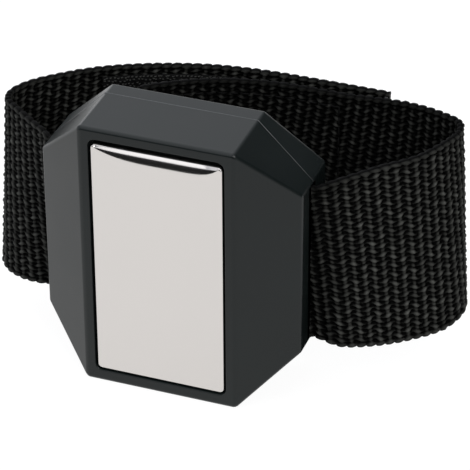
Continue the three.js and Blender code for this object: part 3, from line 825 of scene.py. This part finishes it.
# Hook tape: a moulded strip sewn to the inside of the strap's left end, set with rows of small hooks that
# lean both ways by turns. It comes in two pieces, so that each follows its own bend of the webbing.
TAPE_WIDTH = 0.034
TAPE_NEAR = 0.0011
FILM_THICKNESS = 0.00032
FILM_ROWS = 60
FILM_COLUMNS = 18
ROOT_HEIGHT = TAPE_NEAR + FILM_THICKNESS * 0.9
HOOK_START_STOP = 9.9
HOOK_PITCH = 0.00085
HOOK_RADIUS = 0.00015
HOOK_STRAY = 0.00025
HOOK_SEED = 31
HOOK_SIDES = 4
# A hook's stem and tip in millimetres: how far it leans over and how high it stands
HOOK_SHAPE = ((0, 0), (0, 0.16), (0.08, 0.34), (0.24, 0.4), (0.34, 0.28))
# A way that no strand runs
OBLIQUE = (0.31, 0.83, 0.46)
tape_top = (WEBBING_WIDTH - TAPE_WIDTH) / 2


def tape_film(route, start, end, face):
    """The tape's flat backing between two stops, on the strap's outer (1) or inner (-1) face."""
    along = np.linspace(along_at(route, start), along_at(route, end), FILM_ROWS)
    inside = np.linspace(tape_top, tape_top + TAPE_WIDTH, FILM_COLUMNS)
    across = np.concatenate(((tape_top,), inside, (tape_top + TAPE_WIDTH,)))
    lower, upper = face * TAPE_NEAR, face * (TAPE_NEAR + FILM_THICKNESS)
    ring_run, _, _, rings = band_rings(route, along, across, max(lower, upper), min(lower, upper))
    return rings, band_faces(*ring_run.shape)


def strands(route, paths, radii, sides):
    """Closed round strands along paths given as distances along, across and out from a strap."""
    count, steps = paths.shape[:2]
    run = np.gradient(paths, axis=1)
    run /= np.linalg.norm(run, axis=2, keepdims=True)
    beside = np.cross(run, OBLIQUE)
    beside /= np.linalg.norm(beside, axis=2, keepdims=True)
    over = np.cross(run, beside)
    angles = np.arange(sides) * math.tau / sides
    ring = np.cos(angles)[:, None] * beside[:, :, None] + np.sin(angles)[:, None] * over[:, :, None]
    ring = paths[:, :, None] + ring * np.broadcast_to(radii, (steps,))[:, None, None]
    points = strap_points(route, ring[..., 0], ring[..., 1], ring[..., 2])
    place = np.arange(count * steps * sides).reshape(count, steps, sides)
    beside_place = np.roll(place, -1, axis=2)
    quads = np.stack((place[:, :-1], beside_place[:, :-1], beside_place[:, 1:], place[:, 1:]), axis=-1)
    caps = np.concatenate((place[:, 0], place[:, -1, ::-1]))
    return points, quads.reshape(-1, 4).tolist() + caps.tolist()


def hook_field(route, start, end):
    """Rows of hooks over the tape between two stops."""
    low, high = along_at(route, start) + HOOK_PITCH / 2, along_at(route, end) - HOOK_PITCH / 2
    along = np.linspace(low, high, round((high - low) / HOOK_PITCH) + 1)
    across = np.arange(tape_top + HOOK_RADIUS, tape_top + TAPE_WIDTH - HOOK_RADIUS, HOOK_PITCH)
    run, down = np.meshgrid(along, across, indexing="ij")
    stray = np.random.default_rng(HOOK_SEED).uniform(-HOOK_STRAY, HOOK_STRAY, (2, *run.shape))
    run = run + stray[0]
    down = np.clip(down + stray[1], across[0], across[-1])
    lean = np.where(np.arange(len(across)) % 2, 1, -1) * np.ones(run.shape)
    shape = np.array(HOOK_SHAPE) * MILLIMETRE
    paths = np.zeros((run.size, len(shape), 3))
    paths[:, :, 0] = run.reshape(-1, 1) + lean.reshape(-1, 1) * shape[:, 0]
    paths[:, :, 1] = down.reshape(-1, 1)
    paths[:, :, 2] = -(ROOT_HEIGHT + shape[:, 1])
    return strands(route, paths, HOOK_RADIUS, HOOK_SIDES)


hook_nylon, tree, shader = surface("hook_nylon", (0.009, 0.009, 0.009), roughness=0.7, specular=0.05)
moulding_marks = grain(tree, scale=1500, detail=2)
tree.links.new(spread(tree, moulding_marks, low=0.6, high=0.8), shader.inputs["Roughness"])
# Painted shade: the nylon darkens down each hook to its root and on the film between them, and is lighter
# towards the tips.
hook_height_shade = tree.nodes.new("ShaderNodeAttribute")
hook_height_shade.attribute_name = "height"
tint(tree, hook_height_shade.outputs["Fac"], shader.inputs["Base Color"],
     dark=(0.006, 0.006, 0.006), light=(0.075, 0.076, 0.07), start=0, end=1)
hook_pieces = (
    ("hook_tape_bend", HOOK_START_STOP, TAIL_MIDDLE, "strap_tail_bend",
     ("hook_patch_root", "hook_patch_mid")),
    ("hook_tape_end", TAIL_MIDDLE, TAIL_TIP_STOP, "strap_tail", ("hook_patch_end",)),
)
for name, start, end, strap_piece, nodes in hook_pieces:
    film_points, film_faces = tape_film(left_route, start, end, -1)
    hook_points, hook_faces = hook_field(left_route, start, end)
    tape_mesh = joined_mesh(name, [(film_points, film_faces), (hook_points, hook_faces)])
    film_rise = np.zeros(film_points.size // 3)
    hook_rise = np.tile(np.repeat(np.linspace(0, 1, len(HOOK_SHAPE)), HOOK_SIDES), len(hook_points))
    tape_rise = np.concatenate((film_rise, hook_rise)).astype(np.float32)
    tape_mesh.attributes.new("height", "FLOAT", "POINT").data.foreach_set("value", tape_rise)
    tape = new_piece(name, tape_mesh, hook_nylon)
    bodies, turn_start, turn_end = strap_turns[strap_piece]
    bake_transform(tape)
    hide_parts(*nodes)

# Loop tape: a napped strip sewn to the outside of the strap's right end, a tangle of fine nylon loops that
# the hooks catch in.
LOOPS = 2600
LOOP_RADIUS = 0.00006
LOOP_SIDES = 4
LOOP_STEPS = 7
LOOP_HALF_SPANS = (0.0003, 0.0006)
LOOP_RISES = (0.0002, 0.0004)
LOOP_MARGIN = 0.0008
LOOP_SEED = 23
LOOP_SHEEN = 0.1
loop_random = np.random.default_rng(LOOP_SEED)
loop_turn = np.linspace(0, math.pi, LOOP_STEPS)
loop_half = loop_random.uniform(*LOOP_HALF_SPANS, (LOOPS, 1)) * np.cos(loop_turn)
loop_way = loop_random.uniform(0, math.tau, (LOOPS, 1))
loop_rise = loop_random.uniform(*LOOP_RISES, (LOOPS, 1)) * np.sin(loop_turn)
loop_first = along_at(right_route, FLAP_BEND_STOP) + LOOP_MARGIN
loop_last = along_at(right_route, FLAP_TIP_STOP) - LOOP_MARGIN
loop_along = loop_random.uniform(loop_first, loop_last, (LOOPS, 1))
loop_across = loop_random.uniform(tape_top + LOOP_MARGIN, tape_top + TAPE_WIDTH - LOOP_MARGIN, (LOOPS, 1))
loop_paths = np.stack((
    loop_along + loop_half * np.cos(loop_way),
    loop_across + loop_half * np.sin(loop_way),
    ROOT_HEIGHT + loop_rise,
), axis=-1)
loop_nylon, tree, shader = surface("loop_nylon", (0.014, 0.014, 0.0145), roughness=0.7, specular=0.3)
nap = grain(tree, scale=1800, detail=3)
tint(tree, nap, shader.inputs["Base Color"], dark=(0.01, 0.01, 0.0105), light=(0.02, 0.02, 0.0205))
shader.inputs["Sheen Weight"].default_value = LOOP_SHEEN
loop_film = tape_film(right_route, FLAP_BEND_STOP, FLAP_TIP_STOP, 1)
loop_strands = strands(right_route, loop_paths, LOOP_RADIUS, LOOP_SIDES)
loop_tape = new_piece("loop_tape", joined_mesh("loop_tape", [loop_film, loop_strands]), loop_nylon)
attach(loop_tape, "inner_flap")
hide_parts("loop_patch")

# Stitching: bonded black thread round each tape, through the webbing, seen as short straight stitches on
# both faces. Each run follows the piece of strap that it holds.
STITCH_PITCH = 0.0026
STITCH_LENGTH = 0.0021
STITCH_RADII = (0.00008, 0.00019, 0.00021, 0.00019, 0.00008)
STITCH_INSET = 0.0012
STITCH_SEAT = WEBBING_THICKNESS / 2 * 0.78
STITCH_CROWN = 0.00012
STITCH_SIDES = 6
stitch_share = np.linspace(0, 1, len(STITCH_RADII))


def stitch_rows(route, start, end, end_rows, tape_face):
    """Stitches along both edges of a tape, and across it at the ends named, on both faces of the strap."""
    low, high = along_at(route, start) + STITCH_INSET, along_at(route, end) - STITCH_INSET
    top, foot = tape_top + STITCH_INSET, tape_top + TAPE_WIDTH - STITCH_INSET
    along_ends = {"start": low, "end": high}
    lines = [((low, across), (high, across)) for across in (top, foot)]
    lines += [((along_ends[row], top), (along_ends[row], foot)) for row in end_rows]
    paths = []
    for (along_0, across_0), (along_1, across_1) in lines:
        length = math.hypot(along_1 - along_0, across_1 - across_0)
        starts = np.arange(0, length - STITCH_LENGTH, STITCH_PITCH)[:, None] + stitch_share * STITCH_LENGTH
        share = starts / length
        along = along_0 + (along_1 - along_0) * share
        across = across_0 + (across_1 - across_0) * share
        for height in (-tape_face * STITCH_SEAT, tape_face * (TAPE_NEAR + FILM_THICKNESS)):
            out = height + np.sign(height) * STITCH_CROWN * np.sin(math.pi * stitch_share)
            paths.append(np.stack((along, across, np.broadcast_to(out, share.shape)), axis=-1))
    return strands(route, np.concatenate(paths), np.array(STITCH_RADII), STITCH_SIDES)


thread, tree, shader = surface("black_thread", (0.008, 0.008, 0.008), roughness=0.8, specular=0.03)
twist = grain(tree, scale=4000, detail=1)
relief(tree, shader, twist, depth=0.00004, strength=0.5)
stitch_pieces = (
    ("stitching_bend", left_route, HOOK_START_STOP, TAIL_MIDDLE, ("start",), -1, "strap_tail_bend"),
    ("stitching_tail", left_route, TAIL_MIDDLE, TAIL_TIP_STOP, ("end",), -1, "strap_tail"),
    ("stitching_flap", right_route, FLAP_BEND_STOP, FLAP_TIP_STOP, ("start", "end"), 1, "strap_flap"),
)
for name, route, start, end, end_rows, face, strap_piece in stitch_pieces:
    rows = new_piece(name, joined_mesh(name, [stitch_rows(route, start, end, end_rows, face)]), thread)
    bodies, turn_start, turn_end = strap_turns[strap_piece]
    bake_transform(rows)

# Sealed ends: both cut ends of the webbing are melted shut as they are cut, so that they can't fray. This
# leaves a hard, slightly wavy bead of smooth plastic across the strap.
BEAD_RADIUS = 0.0008
BEAD_INSET = BEAD_RADIUS * 0.9
BEAD_STEPS = 40
BEAD_SIDES = 10
BEAD_WAVE = 0.06
BEAD_WAVE_STEP = 1.7
BEAD_END_SHARE = 0.6
sealed, tree, shader = surface("sealed_end", (0.012, 0.012, 0.012), roughness=0.3)
relief(tree, shader, grain(tree, scale=900, detail=2), depth=0.0001, strength=0.4)
bead_pieces = (
    ("tail_end_bead", left_route, TAIL_TIP_STOP, "tail_end"),
    ("flap_end_bead", right_route, FLAP_TIP_STOP, "inner_flap"),
)
for name, route, stop, body in bead_pieces:
    along = np.full(BEAD_STEPS, along_at(route, stop) - BEAD_INSET)
    across = np.linspace(BEAD_RADIUS, WEBBING_WIDTH - BEAD_RADIUS, BEAD_STEPS)
    bead_path = np.stack((along, across, np.zeros(BEAD_STEPS)), axis=-1)[None]
    bead_radii = BEAD_RADIUS * (1 + BEAD_WAVE * np.sin(np.arange(BEAD_STEPS) * BEAD_WAVE_STEP))
    bead_radii[[0, -1]] *= BEAD_END_SHARE
    bead = new_piece(name, joined_mesh(name, [strands(route, bead_path, bead_radii, BEAD_SIDES)]), sealed)
    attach(bead, body)

# Rear cover: the other half of the housing, in the same plastic. It closes the strap tunnel, hollows towards
# the wrist and is screwed on from behind.
moulding("rear_cover_moulding", "rear_cover", cover_low.y, plastic)

# Seam line: the fine raised witness of the joint between the two halves, pressed proud when they are screwed
# together. It runs over each end of the housing from slot to slot and catches a little light. Its plastic is
# painted far lighter than the housing's, a painted highlight along the line.
SEAM_BEAD = 0.00011
SEAM_SINK = 0.4
SEAM_SIDES = 6
# The bead's plastic is painted light, a painted highlight along the seam.
seam_highlight_paint, tree, shader = surface("seam_painted_highlight", (0.085, 0.09, 0.093), roughness=0.35, specular=0.6)
seam_plan = ((-slot_x, SIDE_HALF_HEIGHT), (-FRONT_HALF_WIDTH, shell_high.z / 2),
             (FRONT_HALF_WIDTH, shell_high.z / 2), (slot_x, SIDE_HALF_HEIGHT))
seam_points, seam_faces = [], []
for end in (-1, 1):
    first = len(seam_points)
    for x, rise in seam_plan:
        outward = Vector((x, rise)).normalized() * SEAM_BEAD
        for side in range(SEAM_SIDES):
            angle = math.tau * side / SEAM_SIDES
            lifted = Vector((x, rise)) + outward * (math.cos(angle) - SEAM_SINK)
            seam_y = parting_y + SEAM_BEAD * math.sin(angle)
            seam_points.append((lifted.x, seam_y, housing_middle_z + end * lifted.y))
    last = first + (len(seam_plan) - 1) * SEAM_SIDES
    for ring_start in range(first, last, SEAM_SIDES):
        for side in range(SEAM_SIDES):
            a, b = ring_start + side, ring_start + (side + 1) % SEAM_SIDES
            seam_faces.append((a, b, b + SEAM_SIDES, a + SEAM_SIDES))
    seam_faces += [tuple(range(ring_start, ring_start + SEAM_SIDES)) for ring_start in (first, last)]
seam_line = new_piece("seam_line", joined_mesh("seam_line", [(seam_points, seam_faces)]), seam_highlight_paint)
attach(seam_line, "housing")

# Cover screws: four small zinc-plated steel screws that hold the rear cover to the front shell. Their heads
# sit in the cover's counterbores, with the sharp edges taken off.
BROKEN_EDGE = 0.00012
BROKEN_STEPS = 2
BROKEN_ANGLE = math.radians(40)
for number in (1, 2, 3, 4):
    screw = finish_solid(f"cover_screw_{number}", zinc)
    broken = screw.modifiers.new("broken_edges", "BEVEL")
    broken.width = BROKEN_EDGE
    broken.segments = BROKEN_STEPS
    broken.limit_method = "ANGLE"
    broken.angle_limit = BROKEN_ANGLE

# Studio: a white floor in an open room that is brightest at the upper left. Six soft boxes stand round the
# band, the strongest overhead and at the right. Dark cards in front of the housing and under the right
# strap show only in reflections; the one under the strap is a painted shadow of the strap on the floor.
FLOOR_SIZE = 12
FLOOR_SHADE = 0.15
FLOOR_GLOW = 0.93
ROOM_BRIGHT_SIDE = (-0.8, 0, 0.6)
CARD_HALF_WIDTH = 1.6
CARD_NEAR = -0.22
CARD_FAR = -1.25
CARD_TOP = 0.8
CARD_LIFT = 0.002
STRAP_SHADOW_REACH = 0.03
STRAP_SHADOW_DEPTHS = (0.003, 0.045)
STRAP_SHADOW_LIFT = 0.0005
BAND_MIDDLE = (0, 0, 0.03)
scene = bpy.context.scene
scene.view_settings.view_transform = "Standard"


def seen_directly(tree):
    """One for rays from the camera and for those that a mirror or glass passes on."""
    path = tree.nodes.new("ShaderNodeLightPath").outputs
    seen = worked(tree, "MAXIMUM", path["Is Camera Ray"], path["Is Glossy Ray"])
    return worked(tree, "MAXIMUM", seen, path["Is Transmission Ray"])


bpy.ops.mesh.primitive_plane_add(size=FLOOR_SIZE)
floor = bpy.context.object
floor.name = "floor"
floor_paint, tree, shader = surface("floor_paint", (FLOOR_SHADE,) * 3, roughness=0.9, specular=0.0)
shader.inputs["Emission Color"].default_value = (1, 1, 1, 1)
glow = worked(tree, "MULTIPLY", seen_directly(tree), FLOOR_GLOW)
tree.links.new(glow, shader.inputs["Emission Strength"])
floor.data.materials.append(floor_paint)

room = bpy.data.worlds.new("studio_room")
scene.world = room
room.use_nodes = True
tree = room.node_tree
air = tree.nodes["Background"]
direction = tree.nodes.new("ShaderNodeTexCoord")
lean = tree.nodes.new("ShaderNodeVectorMath")
lean.operation = "DOT_PRODUCT"
lean.inputs[1].default_value = ROOM_BRIGHT_SIDE
tree.links.new(direction.outputs["Generated"], lean.inputs[0])
brightness = spread(tree, lean.outputs["Value"], low=0, high=1, start=-0.3, end=0.8)
tint(tree, brightness, air.inputs["Color"], dark=(0.03, 0.03, 0.03), light=(0.7, 0.72, 0.78), start=0, end=1)
air.inputs["Strength"].default_value = 1


def soft_lamp(name, place, aim, width, height, power):
    """A soft box at a place, turned towards a point."""
    data = bpy.data.lights.new(name, "AREA")
    data.shape = "RECTANGLE"
    data.size = width
    data.size_y = height
    data.energy = power
    lamp = bpy.data.objects.new(name, data)
    lamp.location = place
    lamp.rotation_euler = (Vector(aim) - Vector(place)).to_track_quat("-Z", "Y").to_euler()
    lamp.visible_camera = False
    scene.collection.objects.link(lamp)


card = bpy.data.meshes.new("dark_card")
card_bends = ((CARD_NEAR, CARD_LIFT), (CARD_FAR, CARD_LIFT), (CARD_FAR, CARD_TOP))
in_front = [(x, y, z) for y, z in card_bends for x in (-CARD_HALF_WIDTH, CARD_HALF_WIDTH)]
# A painted shadow: a dark card on the floor where the right strap's shadow falls, seen only in reflections.
strap_shadow_sides = (slot_x, slot_x + STRAP_SHADOW_REACH)
painted_strap_shadow = [(x, y, STRAP_SHADOW_LIFT) for y in STRAP_SHADOW_DEPTHS for x in strap_shadow_sides]
card.from_pydata(in_front + painted_strap_shadow, [], [(0, 1, 3, 2), (2, 3, 5, 4), (6, 7, 9, 8)])
card_paint, tree, shader = surface("card_paint", (0.03, 0.03, 0.03), roughness=0.9, specular=0.0)
dark_card = new_piece("dark_card", card, card_paint)
for rays in ("camera", "diffuse", "shadow"):
    setattr(dark_card, "visible_" + rays, False)
soft_lamp("overhead_box", (-0.2, 0.1, 1.2), BAND_MIDDLE, width=1.5, height=1.5, power=5)
soft_lamp("back_box", (-0.35, 0.95, 0.8), BAND_MIDDLE, width=1.1, height=0.7, power=1.15)
soft_lamp("left_box", (-1.0, -0.45, 0.45), BAND_MIDDLE, width=0.7, height=0.9, power=0.5)
soft_lamp("rim_box", (-0.75, 0.95, 0.28), aim=(0, 0, 0.05), width=0.5, height=0.35, power=0.8)
soft_lamp("front_box", (-0.4, -1.0, 1.0), BAND_MIDDLE, width=0.7, height=0.5, power=1.0)
soft_lamp("right_box", (0.8, -0.6, 0.8), aim=(0.02, 0, 0.03), width=0.6, height=0.6, power=6)
